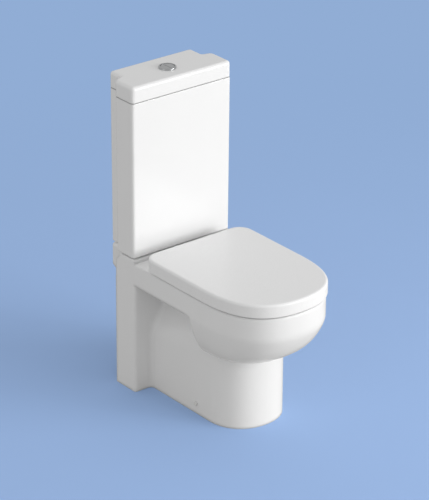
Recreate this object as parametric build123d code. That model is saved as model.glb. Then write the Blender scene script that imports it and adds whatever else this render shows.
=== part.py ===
from build123d import *
import os
from math import cos, degrees, radians, sin

os.makedirs("parts", exist_ok=True)

# A floor-standing close-coupled toilet. Lengths are in millimetres.
# It stands on z = 0, faces -y, and is centred on x = 0. The cistern's neck touches the wall at the back.

# Overall layout
overall_length = 696.0
rim_height = 416.0
overrun = 2.0
edge_tolerance = 0.5

# Cistern body
cistern_side_inset = 1.0
cistern_depth = 151.0
cistern_side_depth = 74.0
cistern_height = 480.0
cistern_taper = 1.3
cistern_corner = 9.0
neck_side_inset = 31.0
neck_corner = 12.0
step_length = 26.0
step_shift_share = 0.4
step_bend_share = 0.5
cistern_wall = 10.0
cistern_floor = 14.0
cistern_inner_corner = 5.0
cistern_base_round = 3.0
cistern_rim_round = 2.0
wall_hole_radius = 4.0
wall_hole_spacing = 160.0
wall_hole_drop = 120.0

# Cistern lid
lid_height = 49.0
lid_corner = 11.0
lid_seam = 0.6
lid_edge_round = 10.0
lid_rim_round = 2.0
lid_top_thickness = 10.0
lid_side_thickness = 12.0
lid_rib_depth = 9.0
lid_rib_thickness = 4.0
lid_rib_clearance = 1.5

# Pan
pan_wall = 12.0
platform_rise = 9.0
platform_gap = 3.5
platform_thickness = 14.0
platform_edge_round = 2.5
wing_reach = 84.0
wing_ledge = 6.5
wing_edge_round = 9.0
wing_cut_length = 22.0
wing_cut_drop = 26.0
shelf_reach = 2.0
shelf_height = 65.0
shelf_slope_rise = 38.0
shelf_top_round = 13.0
band_height = 68.5
deck_thickness = 14.0
lid_overhang = 3.0
lid_side_overhang = 5.0
nose_length_share = 0.717
nose_fullness_share = 0.68
rim_edge_round = 4.0
band_round = 60.0

# Bowl's outer form, which bulges under the band
bowl_depth = 124.0
bowl_length_share = 0.577
bowl_overhang_share = 0.474
bowl_rear_lean = 38.0
bowl_rear_corner = 32.0
bowl_low_corner = 4.0
bowl_foot_gap = 9.0
bowl_tuck_share = 0.228
bowl_round_power = 2.85
bowl_drop_power = 1.15
bowl_level_shares = (0.0, 0.14, 0.34, 0.54, 0.72, 0.87, 0.96, 0.995)

# Pedestal
pedestal_side_gap = 61.4
pedestal_fullness_share = 0.6
pedestal_flare = 15.0
shoulder_drop = 161.5
shoulder_rise = 103.5
shoulder_climb = 57.0
shoulder_length = 260.0
shoulder_round = 90.0
trap_block_width = 92.0
trap_block_drop = 197.5

# Basin
rim_side_width = 57.0
rim_front_width = 46.5
rim_rear_inset = 14.5
rim_opening_fullness_share = 0.6
rim_opening_nose_share = 0.6
rim_lip_thickness = 24.0
rim_lip_drop = 20.0
rim_lip_wall = 8.0
basin_side_gap = 31.0
basin_front_gap = 25.0
basin_length_share = 1.068
basin_depth = 192.0
basin_fullness_share = 0.56
basin_nose_share = 0.55
basin_corner_share = 0.62
basin_depth_shares = (0.0, 0.12, 0.25, 0.45, 0.62, 0.79, 0.92, 1.0)
basin_width_shares = (1.0, 0.98, 0.932, 0.845, 0.736, 0.554, 0.338, 0.19)
basin_front_shares = (0.0, 0.015, 0.042, 0.091, 0.176, 0.318, 0.515, 0.62)
basin_rear_shares = (1.0, 0.927, 0.839, 0.791, 0.779, 0.788, 0.8, 0.79)

# Trapway and outlet
trap_bore = 54.0
trap_wall = 11.0
trap_dip_drop = 192.0
trap_start_rise = 14.0
trap_rise_run = 30.0
weir_drop = 78.0
weir_run = 75.0
trap_drop_run = 20.0
trap_outlet_run = 100.5
trap_bend = 44.0
outlet_bend = 50.0
outlet_height = 180.0
outlet_radius = 51.0
outlet_bore_radius = 42.0
outlet_length = 105.0
outlet_reach = 41.0
outlet_cone_length = 27.0
outlet_cone_start = 57.0

# Flush inlet in the pan
flush_y_from_wall = 82.0
inlet_recess_radius = 46.0
inlet_recess_depth = 26.0
inlet_bore_radius = 26.0
inlet_boss_radius = 58.0
duct_width = 56.0
duct_height = 17.0
duct_rise = 26.0
duct_wall = 12.0
duct_overlap = 40.0

# Screws between cistern and pan
tank_bolt_spacing = 160.0
tank_bolt_radius = 4.0
tank_bolt_hole_radius = 5.5
tank_bolt_head_radius = 6.5
tank_bolt_head_height = 6.0
tank_bolt_tail = 25.0
tank_washer_radius = 14.0
tank_washer_height = 4.0
tank_disc_height = 1.5
tank_disc_radius = 12.0
wing_nut_radius = 8.0
wing_nut_height = 9.0
wing_nut_span = 34.0
wing_nut_blade = 3.0
wing_nut_blade_height = 15.0
thread_clearance = 0.05

# Seat
seat_width = 368.0
seat_rear_from_cistern = 50.0
seat_rear_corner = 46.0
lid_gap = 4.6
seat_height = 44.0
seat_edge_round = 8.0
seat_skin = 4.0
seat_top_skin = 5.0
seat_skirt_foot_round = 1.2
ring_inset = 10.0
ring_gap = 4.0
ring_thickness = 24.0
ring_edge_round = 7.0
ring_side_width = 71.0
ring_rim_cover = 18.0
ring_front_width = 62.0
ring_opening_slope = 8.0
ring_opening_fullness_share = 0.6
ring_opening_nose_share = 0.6
rear_open_margin = 13.0

# Seat hinge
hinge_spacing = 155.0
hinge_setback = 9.0
hinge_height = 20.0
hinge_pin_radius = 4.0
hinge_clearance = 0.05
hinge_eye_radius = 9.0
post_width = 19.0
post_depth = 18.0
post_corner = 4.5
lug_width = 14.0
hinge_side_gap = 1.0
notch_depth = 26.0
hinge_bolt_radius = 4.0
hinge_hole_radius = 6.0
hinge_boss_radius = 14.0
hinge_bolt_tail = 24.0
hinge_bolt_grip = 6.0
hinge_washer_radius = 13.0
hinge_washer_height = 4.0
hinge_nut_radius = 11.0
hinge_nut_height = 12.0

# Buffers under the ring and under the lid
buffer_length = 34.0
buffer_width = 12.0
buffer_gap = 0.3
lid_buffer_height_gap = 0.3
buffer_side_inset = 40.0
buffer_front_inset_share = 0.19
buffer_rear_gap = 78.0
buffer_nose_share = 0.76

# Flush button set in the cistern lid
button_y_from_wall = 82.0
bezel_radius = 26.0
bezel_height = 5.0
bezel_inner_radius = 21.0
bezel_barrel_radius = 23.0
bezel_barrel_length = 33.0
bezel_edge_round = 2.0
bezel_hole_clearance = 0.8
bezel_nut_radius = 29.0
bezel_nut_height = 8.0
button_clearance = 0.5
button_split = 1.2
button_height = 14.0
button_sink = 0.6
button_travel = 6.0
button_edge_round = 1.0
button_pocket_wall = 3.0
button_pocket_depth = 8.0
push_rod_radius = 3.0
push_rod_offset = 14.0
rod_guide_clearance = 0.6

# Flush valve
seat_flange_radius = 42.0
seat_flange_height = 5.0
seat_tail_radius = 29.0
seat_tail_bore = 22.0
seat_hole_clearance = 1.0
seat_tail_length = 26.0
seal_washer_height = 3.0
flush_nut_radius = 40.0
flush_nut_height = 12.0
coupling_radius = 44.0
coupling_foot_gap = 0.3
tower_radius = 38.0
tower_wall = 4.0
cage_height = 96.0
cage_window_width = 22.0
cage_window_height = 64.0
cage_window_sill = 12.0
guide_plate_height = 4.0
column_offset = 30.0
column_width = 12.0
column_thickness = 5.0
head_plate_drop = 93.5
head_plate_radius = 36.0
head_plate_thickness = 4.0
head_cap_drop = 50.5
cheek_offset = 14.0
cheek_thickness = 4.0
cheek_length = 48.0
hook_slot_length = 18.0
hook_slot_width = 14.0
tube_radius = 14.0
tube_bore = 11.5
tube_clearance = 1.0
bell_radius = 30.0
bell_height = 8.0
bell_seal_radius = 28.0
bell_seal_height = 3.2
bell_seal_gap = 0.3
overflow_drop = 118.5
collar_radius = 18.0
collar_height = 6.0
hook_bar_thickness = 5.0
hook_bar_width = 8.0
hook_tip_length = 6.0
hook_tip_height = 4.0
hook_play = 0.5
rod_play = 1.2

# Lift lever in the flush valve's head
lever_drop = 70.5
lever_pivot_x = 1.0
lever_pad_arm = 13.0
lever_lift_arm = 26.0
lever_thickness = 5.0
lever_width = 8.0
lever_pin_radius = 2.5
lever_eye_radius = 5.0

# Fill valve
inlet_drop = 65.5
inlet_y_from_wall = 37.0
shank_radius = 8.33
shank_reach = 25.0
shank_flange_radius = 14.0
shank_flange_thickness = 3.0
shank_hole_radius = 9.3
inlet_washer_thickness = 4.0
inlet_seat_gap = 0.1
inlet_nut_radius = 13.0
inlet_nut_height = 10.0
shank_bore = 5.0
shank_relief_depth = 1.0
shank_relief_length = 2.0
fill_side_gap = 43.0
fill_block_width = 30.0
fill_block_depth = 36.0
fill_block_height = 34.0
guide_radius = 11.0
guide_bore = 8.7
guide_length = 190.0
guide_y_shift = 11.0
drop_tube_radius = 8.5
drop_tube_bore = 7.0
drop_tube_rise = 19.5
drop_tube_overlap = 22.0
float_radius = 27.0
float_bore = 12.2
float_height = 72.0
float_drop = 218.5
float_wall = 2.5
float_travel = 15.0
float_lever_shift = 18.0
float_lever_rise = 15.0
float_lever_arm = 36.0
float_lever_eye_radius = 5.0
float_lever_thickness = 5.0
float_lever_width = 8.0
float_pin_radius = 2.0
float_ear_thickness = 4.0
float_ear_gap = 0.5
link_radius = 2.0
link_hole_radius = 3.4
link_collar_radius = 5.2
link_collar_height = 2.0
link_collar_play = 1.2

# Side fixings of the foot
fixing_setback = 63.0
fixing_height = 33.0
fixing_hole_radius = 3.6
fixing_screw_radius = 3.0
fixing_screw_length = 26.0
fixing_head_radius = 5.0
fixing_head_height = 3.0
cap_radius = 6.5
cap_height = 4.6
cap_skin = 1.2
bracket_length = 40.0
bracket_height = 52.0
bracket_thickness = 3.0
bracket_foot = 34.0
bracket_gap = 0.3
bracket_hole_radius = 4.0

# Places worked out from the sizes above
wing_width = seat_width - lid_side_overhang * 2
cistern_width = wing_width - cistern_side_inset * 2
neck_width = cistern_width - neck_side_inset * 2
pedestal_width = wing_width - pedestal_side_gap * 2
wall_y = overall_length / 2
seat_front_y = -overall_length / 2
cistern_front_y = wall_y - cistern_depth
wing_front_y = cistern_front_y - wing_ledge
wing_back_y = cistern_front_y + wing_reach
pan_front_y = seat_front_y + lid_overhang
bowl_length = (wing_front_y - pan_front_y) * bowl_length_share
nose_start_y = pan_front_y + bowl_length * nose_length_share
platform_height = rim_height + platform_rise
cistern_base = platform_height + platform_gap
cistern_floor_top = cistern_base + cistern_floor
cistern_top = cistern_base + cistern_height
lid_base = cistern_top + lid_seam
lid_top = cistern_top + lid_height
lid_underside = lid_top - lid_top_thickness
band_low = rim_height - band_height
bowl_rear_y = pan_front_y + bowl_length
bowl_overhang = bowl_length * bowl_overhang_share
pedestal_front_y = pan_front_y + bowl_overhang
pedestal_nose_y = bowl_rear_y - bowl_rear_lean - bowl_foot_gap
shoulder_height = band_low - shoulder_drop
trap_block_height = band_low - trap_block_drop
basin_width = wing_width - basin_side_gap * 2
basin_front_y = pan_front_y + basin_front_gap
basin_length = bowl_length * basin_length_share
rim_opening_width = wing_width - rim_side_width * 2
rim_opening_front_y = pan_front_y + rim_front_width
rim_opening_length = basin_front_y + basin_length - rim_rear_inset - rim_opening_front_y
trap_dip_height = rim_height - trap_dip_drop
weir_height = rim_height - weir_drop
flush_y = wall_y - flush_y_from_wall
button_y = wall_y - button_y_from_wall
lid_base_z = rim_height + lid_gap
seat_top = lid_base_z + seat_height - lid_gap
seat_underside = seat_top - seat_top_skin
seat_rear_y = cistern_front_y - seat_rear_from_cistern
ring_base = rim_height + ring_gap
ring_top = ring_base + ring_thickness
hinge_y = seat_rear_y - hinge_setback
hinge_z = rim_height + hinge_height
ring_opening_width = seat_width - ring_side_width * 2
ring_opening_length = rim_opening_length - ring_rim_cover
post_start = (hinge_spacing - post_width) / 2
post_end = post_start + post_width
lid_lug_end = post_start - hinge_side_gap
lid_lug_start = lid_lug_end - lug_width
ring_lug_start = post_end + hinge_side_gap
ring_lug_end = ring_lug_start + lug_width
rear_open_width = (ring_lug_end + rear_open_margin) * 2
buffer_rear_y = hinge_y - buffer_rear_gap
buffer_front_y = seat_front_y + (nose_start_y - seat_front_y) * buffer_nose_share
valve_base = cistern_floor_top + seal_washer_height + seat_flange_height
head_plate_height = cistern_top - head_plate_drop
head_cap_height = cistern_top - head_cap_drop
overflow_height = cistern_top - overflow_drop
lever_height = cistern_top - lever_drop
lever_tilt = degrees(button_travel / lever_pad_arm) / 2
float_low = cistern_top - float_drop
drop_tube_end = cistern_floor_top + drop_tube_rise
fill_x = neck_width / 2 - fill_side_gap
float_lever_x = fill_x + float_lever_shift
inlet_y = wall_y - inlet_y_from_wall
inlet_height = cistern_top - inlet_drop
fill_block_low = inlet_height - fill_block_height / 2
fill_block_high = inlet_height + fill_block_height / 2
guide_y = inlet_y - guide_y_shift
float_pivot_x = float_lever_x - float_lever_eye_radius
float_pivot_z = fill_block_high + float_lever_rise
float_tilt = degrees(float_travel / float_lever_arm) / 2
inlet_taper = cistern_taper * (cistern_top - inlet_height) / cistern_height
inlet_wall_x = neck_width / 2 - cistern_wall - inlet_taper - inlet_seat_gap
fixing_y = pedestal_nose_y + fixing_setback


def rod(radius, low, high):
    """Upright round bar between two heights."""
    base = (Align.CENTER, Align.CENTER, Align.MIN)
    return Pos(0, 0, low) * Cylinder(radius, high - low, align=base)


def pipe(outer, inner, low, high):
    """Upright tube between two heights."""
    return rod(outer, low, high) - rod(inner, low - overrun, high + overrun)


def cross_rod(radius, start, end):
    """Round bar along x."""
    base = (Align.CENTER, Align.CENTER, Align.MIN)
    return Pos(start, 0, 0) * (Rot(0, 90, 0) * Cylinder(radius, end - start, align=base))


def back_rod(radius, start, end):
    """Round bar along y."""
    base = (Align.CENTER, Align.CENTER, Align.MIN)
    return Pos(0, start, 0) * (Rot(-90, 0, 0) * Cylinder(radius, end - start, align=base))


def slab(x_low, x_high, y_low, y_high, z_low, z_high):
    """Straight block between its limits."""
    base = (Align.MIN, Align.MIN, Align.MIN)
    return Pos(x_low, y_low, z_low) * Box(x_high - x_low, y_high - y_low, z_high - z_low, align=base)


def both_sides(shape):
    """A piece on the right and its mirror image on the left."""
    return Compound(children=[*shape.solids(), *mirror(shape, about=Plane.YZ).solids()])


def corner(x, y, radius, start):
    """Quarter round about a centre, from a start angle."""
    return CenterArc((x, y), radius, start, 90)


def outline(right_side, back_y, front_edge):
    """Face from the edges of the right half, its mirror image, and what closes it at the middle."""
    left_side = [edge.mirror(Plane.YZ) for edge in right_side]
    return Face(Wire([*right_side, *left_side, *back_y, *front_edge]))


def cistern_plan(inset, round_front, round_back):
    """Wide front with a narrower neck behind it, joined by a soft double bend on each side."""
    half = cistern_width / 2 - inset
    neck = neck_width / 2 - inset
    front = cistern_front_y + inset
    back = wall_y - inset
    bend_start = cistern_front_y + cistern_side_depth - inset * step_shift_share
    bend_end = bend_start + step_length
    reach = step_length * step_bend_share
    right = [
        corner(half - round_front, front + round_front, round_front, 270),
        Line((half, front + round_front), (half, bend_start)),
        Bezier((half, bend_start), (half, bend_start + reach), (neck, bend_end - reach), (neck, bend_end)),
        Line((neck, bend_end), (neck, back - round_back)),
        corner(neck - round_back, back - round_back, round_back, 0),
    ]
    rear = [Line((neck - round_back, back), (round_back - neck, back))]
    fore = [Line((round_front - half, front), (half - round_front, front))]
    return outline(right, rear, fore)


def nosed_plan(half, side_end, front, back, round_back, fullness):
    """Straight sides, a full rounded front, and a straight back with round corners."""
    reach = (front - side_end) * fullness
    right = [
        Bezier((0, front), (half * fullness, front), (half, side_end + reach), (half, side_end)),
        Line((half, side_end), (half, back - round_back)),
        corner(half - round_back, back - round_back, round_back, 0),
    ]
    rear = [Line((half - round_back, back), (round_back - half, back))]
    return outline(right, rear, [])


def make_cistern_body():
    """Open-topped china tank on a flat floor."""
    low = cistern_plan(cistern_taper, cistern_corner, neck_corner)
    high = cistern_plan(0, cistern_corner, neck_corner)
    shell = loft([Pos(0, 0, cistern_base) * low, Pos(0, 0, cistern_top) * high], ruled=True)
    shell = fillet(shell.edges().group_by(Axis.Z)[0], cistern_base_round)
    shell = fillet(shell.edges().group_by(Axis.Z)[-1], cistern_rim_round)
    inner_low = cistern_plan(cistern_wall + cistern_taper, cistern_inner_corner, cistern_inner_corner)
    inner_high = cistern_plan(cistern_wall, cistern_inner_corner, cistern_inner_corner)
    hollow = loft([Pos(0, 0, cistern_floor_top) * inner_low, Pos(0, 0, cistern_top) * inner_high], ruled=True)
    body = shell - hollow
    low_end = cistern_base - overrun
    high_end = cistern_floor_top + overrun
    hole = rod(seat_tail_radius + seat_hole_clearance, low_end, high_end)
    body -= Pos(0, flush_y, 0) * hole
    for x in (-tank_bolt_spacing / 2, tank_bolt_spacing / 2):
        body -= Pos(x, flush_y, 0) * rod(tank_bolt_hole_radius, low_end, high_end)
    for x in (-wall_hole_spacing / 2, wall_hole_spacing / 2):
        hole = back_rod(wall_hole_radius, wall_y - cistern_wall - overrun, wall_y + overrun)
        body -= Pos(x, 0, cistern_top - wall_hole_drop) * hole
    neck = neck_width / 2
    inlet = cross_rod(shank_hole_radius, neck - cistern_wall - overrun, neck + overrun)
    body -= Pos(0, inlet_y, inlet_height) * inlet
    return body


def make_cistern_lid():
    """China cover with a round top edge, hollow below, and a rib that keeps it on the tank."""
    cover = extrude(Pos(0, 0, lid_base) * cistern_plan(0, lid_corner, neck_corner), lid_top - lid_base)
    cover = fillet(cover.edges().group_by(Axis.Z)[-1], lid_edge_round)
    cover = fillet(cover.edges().group_by(Axis.Z)[0], lid_rim_round)
    inner = cistern_plan(lid_side_thickness, cistern_inner_corner, cistern_inner_corner)
    cover -= extrude(Pos(0, 0, lid_base) * inner, lid_underside - lid_base)
    rib_inset = cistern_wall + lid_rib_clearance
    rib_outer = cistern_plan(rib_inset, cistern_inner_corner, cistern_inner_corner)
    rib_inner = cistern_plan(rib_inset + lid_rib_thickness, cistern_inner_corner, cistern_inner_corner)
    rib_low = lid_base - lid_rib_depth
    rib_height = lid_rib_depth + lid_rib_thickness
    cover += extrude(Pos(0, 0, rib_low) * (rib_outer - rib_inner), rib_height)
    hole = rod(bezel_barrel_radius + bezel_hole_clearance, lid_underside - overrun, lid_top + overrun)
    return cover - Pos(0, button_y, 0) * hole


def bowl_form(inset):
    """Rounded underside of the bowl, from the band down to where it meets the pedestal."""
    foot_half = pedestal_width / 2
    band_half = wing_width / 2
    sections = []
    for share in bowl_level_shares:
        swell = (1 - share ** bowl_drop_power) ** (1 / bowl_round_power)
        swell += (swell - 1) * bowl_tuck_share
        half = foot_half + (band_half - foot_half) * swell - inset
        front = pedestal_front_y - bowl_overhang * swell + inset
        side_end = pedestal_nose_y + (nose_start_y - pedestal_nose_y) * swell - inset
        back = bowl_rear_y - bowl_rear_lean * share - inset
        height = band_low - bowl_depth * share + inset * share
        turn = (bowl_rear_corner - inset) * (1 - share) + bowl_low_corner
        plan = nosed_plan(half, side_end, front, back, turn, nose_fullness_share)
        sections.append(Pos(0, 0, height) * plan)
    return loft(sections)


def shoulder_cutter(inset):
    """Half space above the slope that narrows the pedestal towards the trapway, on the left side."""
    start = Vector(inset - pedestal_width / 2, wing_front_y, shoulder_height)
    across = Vector((pedestal_width - trap_block_width) / 2, 0, shoulder_rise)
    along = Vector(0, -shoulder_length, shoulder_climb)
    slope = Plane(origin=start, x_dir=along, z_dir=along.cross(across))
    size = overall_length * 2
    return slope * Box(size, size, size, align=(Align.CENTER, Align.CENTER, Align.MIN))


def pedestal_form():
    """Foot with a round nose and shoulders that turn softly from its sides into their slopes."""
    half = pedestal_width / 2
    back = wing_front_y + pan_wall / 2
    left_cut = shoulder_cutter(0)
    foot = slab(-half, half, pedestal_front_y - overrun, back, 0, band_low)
    foot = foot - left_cut - mirror(left_cut, about=Plane.YZ)
    foot = fillet(foot.faces().filter_by(Axis.X).edges().group_by(Axis.Z)[-1], shoulder_round)
    plan = nosed_plan(half, pedestal_nose_y, pedestal_front_y, back, overrun, pedestal_fullness_share)
    return foot & extrude(plan, band_low)


def trap_block(inset, back):
    """Narrow block over the trapway, which stands out of the shoulders."""
    half = trap_block_width / 2 - inset
    return slab(-half, half, bowl_rear_y - bowl_rear_corner, back, trap_block_height, band_low + inset)


def foot_and_wing():
    """Pedestal with rounded shoulders, joined to the wing by a hollow rounding that climbs with them."""
    half = wing_width / 2
    wing = slab(-half, half, wing_front_y, wing_back_y, 0, band_low)
    wing = fillet(wing.edges().filter_by(Axis.Z).group_by(Axis.Y)[0], wing_edge_round)
    foot = pedestal_form()
    joined = wing + foot + trap_block(0, wing_front_y + pan_wall / 2)
    seam = joined.edges().filter_by(lambda edge: abs(edge.center().Y - wing_front_y) < edge_tolerance)
    seam = seam.filter_by(lambda edge: abs(edge.center().X) < half - wing_edge_round * 2)
    seam = seam.filter_by(lambda edge: edge_tolerance < edge.center().Z < band_low - edge_tolerance)
    return fillet(seam, pedestal_flare)


def neck_profile(inset):
    """Side view of the shelf behind the wing: level top, round rear edge and a sloping underside."""
    back = wall_y - shelf_reach - inset
    top = platform_height
    low = platform_height - shelf_height
    front = wing_front_y + pan_wall
    bend = shelf_top_round
    points = Polyline((front, top), (front, low - shelf_slope_rise), (wing_back_y, low - shelf_slope_rise),
                      (back, low), (back, top - bend))
    edges = [
        *points.edges(),
        CenterArc((back - bend, top - bend), bend, 0, 90),
        Line((back - bend, top), (front, top)),
    ]
    return Face(Wire(edges))


def neck_form():
    """Shelf under the cistern's neck."""
    half = neck_width / 2
    profile = Plane.YZ.offset(-half) * neck_profile(0)
    shelf = extrude(profile, neck_width, dir=(1, 0, 0))
    upright = shelf.edges().filter_by(Axis.Z).group_by(Axis.Y)[-1]
    return fillet(upright, neck_corner)


def outer_form():
    """The whole outside of the pan, solid."""
    half = wing_width / 2
    plan = nosed_plan(half, nose_start_y, pan_front_y, wing_back_y, overrun, nose_fullness_share)
    deck = extrude(Pos(0, 0, band_low) * plan, band_height)
    deck = fillet(deck.edges().group_by(Axis.Z)[-1], rim_edge_round) + bowl_form(0)
    seam = deck.edges().filter_by(lambda edge: abs(edge.center().Z - band_low) < edge_tolerance)
    seam = seam.filter_by(lambda edge: edge.center().Y < bowl_rear_y - bowl_rear_corner)
    deck = fillet(seam, band_round)
    platform = slab(-half, half, wing_front_y, wing_back_y, rim_height - rim_edge_round * 2, platform_height)
    platform = fillet(platform.edges().group_by(Axis.Z)[-1], platform_edge_round)
    upper = deck + platform
    cut_low = (wing_back_y, platform_height - wing_cut_drop)
    cut_top = (wing_back_y - wing_cut_length, platform_height)
    triangle = Polyline(cut_low, cut_top, (wing_back_y, platform_height), close=True)
    side_cut = extrude(Plane.YZ.offset(neck_width / 2) * make_face(triangle), half, dir=(1, 0, 0))
    upper = upper - side_cut - mirror(side_cut, about=Plane.YZ)
    return upper + foot_and_wing() + neck_form()


def hollow_form():
    """The space inside the china, open below the foot and behind the wing."""
    half = wing_width / 2 - pan_wall
    back = wing_back_y + overrun
    pocket_front = wing_front_y + pan_wall
    deck_low = band_low + pan_wall
    nose_start = nose_start_y - pan_wall
    nose_front = pan_front_y + pan_wall
    deck_plan = nosed_plan(half, nose_start, nose_front, pocket_front + overrun, overrun, nose_fullness_share)
    deck = extrude(Pos(0, 0, deck_low) * deck_plan, rim_height - deck_thickness - deck_low)
    pocket_top = platform_height - platform_thickness
    pocket = slab(-half, half, pocket_front, back, -overrun, pocket_top)
    shelf_half = neck_width / 2 - pan_wall
    shelf_back = wall_y - shelf_reach - pan_wall
    pocket += slab(-shelf_half, shelf_half, wing_back_y - pan_wall, shelf_back, -overrun, pocket_top)
    foot_half = pedestal_width / 2 - pan_wall
    foot_front = pedestal_front_y + pan_wall
    foot_plan = nosed_plan(foot_half, pedestal_nose_y, foot_front, pocket_front + overrun, overrun,
                           pedestal_fullness_share)
    foot = extrude(Pos(0, 0, -overrun) * foot_plan, deck_low + overrun * 2)
    left_cut = shoulder_cutter(pan_wall)
    foot = foot - left_cut - mirror(left_cut, about=Plane.YZ)
    foot += trap_block(pan_wall, pocket_front + overrun)
    bowl_top_plan = nosed_plan(half, nose_start, nose_front, bowl_rear_y - pan_wall,
                               bowl_rear_corner - pan_wall + bowl_low_corner, nose_fullness_share)
    bowl_top = extrude(Pos(0, 0, band_low) * bowl_top_plan, pan_wall + overrun)
    return foot + bowl_form(pan_wall) + bowl_top + deck + pocket


def basin_form(grow):
    """The basin's inside, or with a wall's thickness added the outside of its wall."""
    sections = []
    top = rim_height - rim_lip_thickness
    rows = zip(basin_depth_shares, basin_width_shares, basin_front_shares, basin_rear_shares)
    for depth_share, width_share, front_share, rear_share in rows:
        half = basin_width / 2 * width_share + grow
        front = basin_front_y + basin_length * front_share - grow
        back = basin_front_y + basin_length * rear_share + grow
        side_end = front + (back - front) * basin_nose_share
        height = top - (basin_depth + grow) * depth_share
        turn = (half - grow) * basin_corner_share
        plan = nosed_plan(half, side_end, front, back, turn, basin_fullness_share)
        sections.append(Pos(0, 0, height) * plan)
    return loft(sections)


def rim_hole(inset, low, high):
    """Upright prism of the opening in the rim."""
    front = rim_opening_front_y - inset
    back = front + rim_opening_length + inset * 2
    half = rim_opening_width / 2 + inset
    side_end = front + (back - front) * rim_opening_nose_share
    plan = nosed_plan(half, side_end, front, back, half * basin_corner_share, rim_opening_fullness_share)
    return extrude(Pos(0, 0, low) * plan, high - low)


def trap_path():
    """Centre line of the trapway: under the dip, over the weir and down to the level outlet."""
    start_y = basin_front_y + basin_length * basin_rear_shares[-1]
    end_y = wing_back_y
    drop_y = end_y - trap_outlet_run
    weir_y = drop_y - trap_drop_run
    rise_y = weir_y - weir_run
    dip_y = rise_y - trap_rise_run
    points = [
        (0, start_y, trap_dip_height + trap_start_rise),
        (0, dip_y, trap_dip_height),
        (0, rise_y, weir_height),
        (0, weir_y, weir_height),
        (0, drop_y, outlet_height),
        (0, end_y, outlet_height),
    ]
    return FilletPolyline(*points, radius=[trap_bend, trap_bend, trap_bend, outlet_bend])


def trap_form(radius):
    """Round tube along the trapway."""
    path = trap_path()
    start = Plane(origin=path @ 0, z_dir=path % 0)
    return sweep(start * Circle(radius), path=path)


def outlet_bore():
    """Level bore of the outlet, opening from the trapway's width by a cone."""
    cone_start = wing_front_y + outlet_cone_start
    cone_end = cone_start + outlet_cone_length
    end = wing_back_y + outlet_reach + overrun
    base = (Align.CENTER, Align.CENTER, Align.MIN)
    cone = Rot(-90, 0, 0) * Cone(trap_bore / 2, outlet_bore_radius, outlet_cone_length, align=base)
    wide = back_rod(outlet_bore_radius, cone_end, end)
    return Pos(0, 0, outlet_height) * (Pos(0, cone_start, 0) * cone + wide)


def make_pan():
    """One piece of china: outer walls, basin, trapway, outlet, flush duct and the holes for its fixings."""
    duct_half = duct_width / 2
    duct_low = band_low + duct_rise
    duct_front = basin_front_y + basin_length - duct_overlap
    duct_back = flush_y + inlet_bore_radius / 2
    outlet_end = wing_back_y + outlet_reach
    slab_low = platform_height - platform_thickness
    at_flush = Pos(0, flush_y, 0)
    hollow = hollow_form()
    hollow -= basin_form(pan_wall)
    hollow -= trap_form(trap_bore / 2 + trap_wall)
    hollow -= at_flush * rod(inlet_boss_radius, duct_low - duct_wall, platform_height)
    duct_side = duct_half + duct_wall
    hollow -= slab(-duct_side, duct_side, duct_front + duct_wall, flush_y - inlet_bore_radius,
                   band_low, rim_height)
    cuts = [
        at_flush * rod(inlet_recess_radius, platform_height - inlet_recess_depth, platform_height + overrun),
        at_flush * rod(inlet_bore_radius, duct_low + overrun, platform_height),
        Pos(0, fixing_y, fixing_height) * cross_rod(fixing_hole_radius, -pedestal_width, pedestal_width),
    ]
    for side in (-1, 1):
        at_hinge = Pos(side * hinge_spacing / 2, hinge_y, 0)
        hollow -= at_hinge * rod(hinge_boss_radius, band_low, rim_height)
        cuts.append(at_hinge * rod(hinge_hole_radius, band_low - overrun, rim_height + overrun))
        bolt_hole = rod(tank_bolt_hole_radius, slab_low - overrun, platform_height + overrun)
        cuts.append(Pos(side * tank_bolt_spacing / 2, flush_y, 0) * bolt_hole)
    pan = outer_form() - hollow
    pan += Pos(0, 0, outlet_height) * back_rod(outlet_radius, outlet_end - outlet_length, outlet_end)
    for cut in cuts:
        pan -= cut
    pan -= outlet_bore()
    pan -= trap_form(trap_bore / 2)
    pan -= basin_form(0)
    lip_low = rim_height - rim_lip_thickness - rim_lip_drop
    pan += rim_hole(rim_lip_wall, lip_low, rim_height - overrun)
    pan -= rim_hole(0, lip_low - overrun, rim_height + overrun)
    duct = slab(-duct_half, duct_half, duct_front, duct_back, duct_low, duct_low + duct_height)
    return pan - (duct - rim_hole(rim_lip_wall, duct_low - overrun, rim_height))


def seat_plan(inset):
    """D-shaped outline shared by the seat lid and the ring."""
    half = seat_width / 2 - inset
    front = seat_front_y + inset
    back = seat_rear_y - inset
    return nosed_plan(half, nose_start_y, front, back, seat_rear_corner - inset, nose_fullness_share)


def hinge_eye(start, end, top):
    """Rounded lug about the hinge line, which reaches up to the piece that it belongs to."""
    eye = cross_rod(hinge_eye_radius, start, end)
    web = slab(start, end, -hinge_eye_radius, hinge_eye_radius, 0, top - hinge_z)
    return Pos(0, hinge_y, hinge_z) * (eye + web)


def pin_hole(start, end):
    """Running hole for the hinge pin."""
    hole = cross_rod(hinge_pin_radius + hinge_clearance, start - overrun, end + overrun)
    return Pos(0, hinge_y, hinge_z) * hole


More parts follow.
